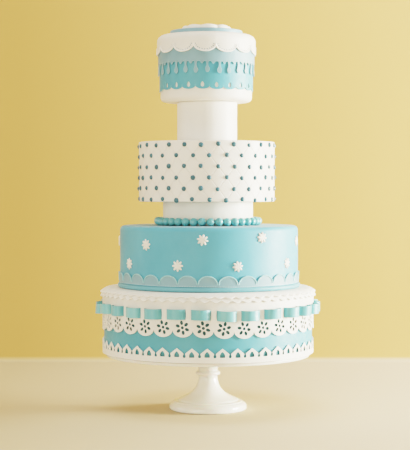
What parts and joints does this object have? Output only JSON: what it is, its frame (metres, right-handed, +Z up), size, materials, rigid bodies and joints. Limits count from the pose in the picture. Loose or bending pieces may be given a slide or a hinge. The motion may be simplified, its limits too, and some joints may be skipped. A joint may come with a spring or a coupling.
{
  "type": "tiered wedding cake on a pedestal stand",
  "caption": "Tall round tiered cake with spacer rounds, cut-paste lace, ribbon, daisies, sugar pearls and scalloped bands, on a white pedestal stand.",
  "frame": {"origin": "centre of the stand's foot, on the table", "axes": "+Z up the cake, front towards -Y, +X to the right as seen from the front"},
  "size_m": [0.378, 0.378, 0.6484],
  "materials": {
    "milk_glass": "glossy white glaze, plain",
    "white_paste": "satin rolled sugar paste, warm white",
    "blue_paste": "satin rolled sugar paste, light teal blue",
    "pale_blue_paste": "satin rolled sugar paste, pale grey blue",
    "ribbon_paste": "thin ribbon with a soft satin sheen",
    "sugar_pearl": "rolled sugar beads with a soft shine"
  },
  "bodies": {
    "root": {"cake_stand": "milk_glass", "tier_1": "white_paste", "tier_1_cover": "white_paste", "tier_1_blue_band": "blue_paste", "tier_1_eyelet_lace": "white_paste", "tier_1_ribbon": "ribbon_paste", "tier_1_picket_lace": "white_paste", "tier_2": "blue_paste", "tier_2_rope": "blue_paste", "tier_2_border": "pale_blue_paste", "daisy_high_1": "white_paste", "daisy_high_2": "white_paste", "daisy_high_3": "white_paste", "daisy_high_4": "white_paste", "daisy_high_5": "white_paste", "daisy_high_6": "white_paste", "daisy_high_7": "white_paste", "daisy_high_8": "white_paste", "daisy_high_9": "white_paste", "daisy_low_1": "white_paste", "daisy_low_2": "white_paste", "daisy_low_3": "white_paste", "daisy_low_4": "white_paste", "daisy_low_5": "white_paste", "daisy_low_6": "white_paste", "daisy_low_7": "white_paste", "daisy_low_8": "white_paste", "daisy_low_9": "white_paste", "spacer_2": "white_paste", "pearl_ring": "sugar_pearl", "tier_3": "white_paste", "spacer_1": "white_paste", "tier_4": "white_paste", "tier_4_punched_band": "blue_paste", "tier_4_fringe": "pale_blue_paste", "tier_4_collar": "white_paste", "top_disc": "pale_blue_paste", "top_flower": "white_paste"}
  },
  "joints": []
}
